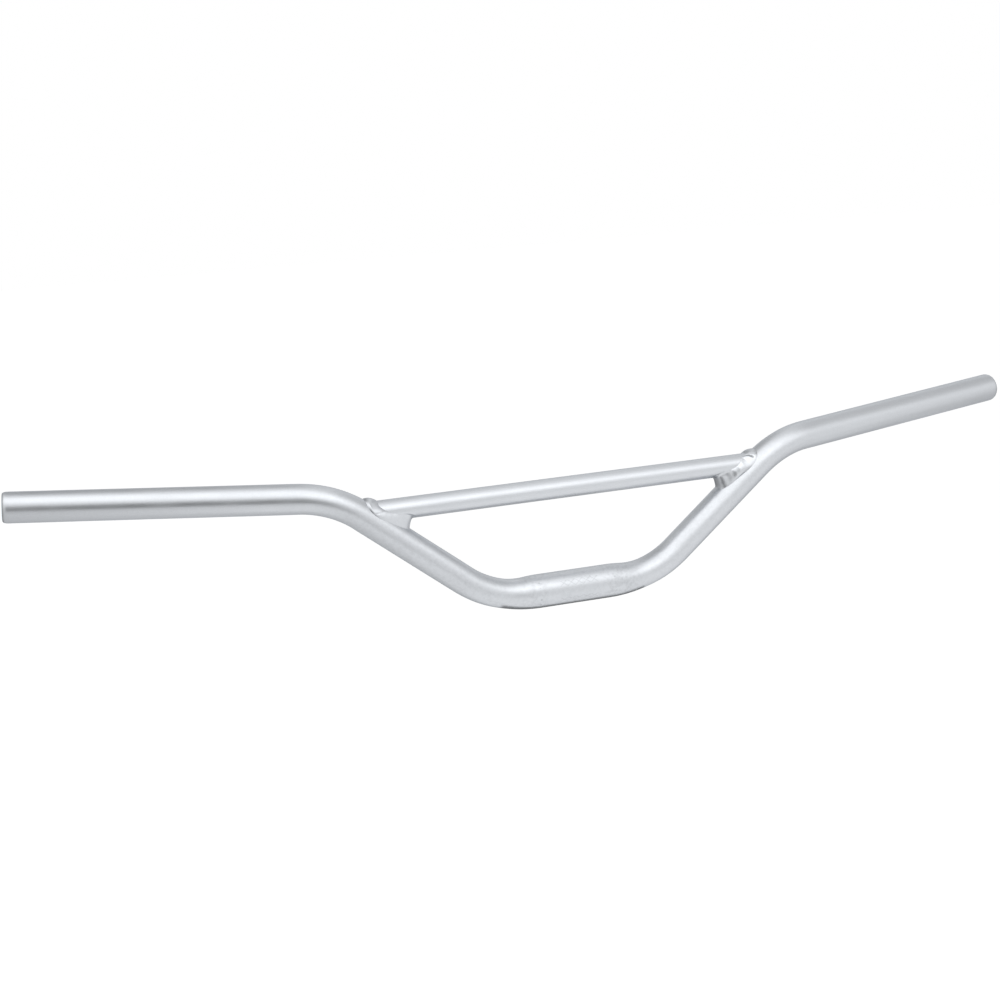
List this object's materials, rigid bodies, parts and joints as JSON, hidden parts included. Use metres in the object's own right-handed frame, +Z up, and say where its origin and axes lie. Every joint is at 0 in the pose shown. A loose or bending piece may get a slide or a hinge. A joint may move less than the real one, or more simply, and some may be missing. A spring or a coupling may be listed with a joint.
{
  "type": "riser handlebar",
  "caption": "Bicycle riser handlebar with a welded cross brace: a satin silver tube with a swaged 25.4 mm middle, two bends a side and open ends.",
  "frame": {"origin": "middle of the clamping length, on the tube's axis", "axes": "+X along the clamping length, towards the rider's left hand; +Y back towards the rider; +Z up, the way the risers climb"},
  "size_m": [0.8174, 0.069, 0.1291],
  "materials": {
    "tube": "satin, bead blasted and clear anodised",
    "brace": "satin, bead blasted and clear anodised",
    "weld": "satin weld metal, as laid"
  },
  "bodies": {
    "root": {"main_tube": "tube", "cross_brace": "brace", "weld_bead_left": "weld", "weld_bead_right": "weld"}
  },
  "joints": []
}
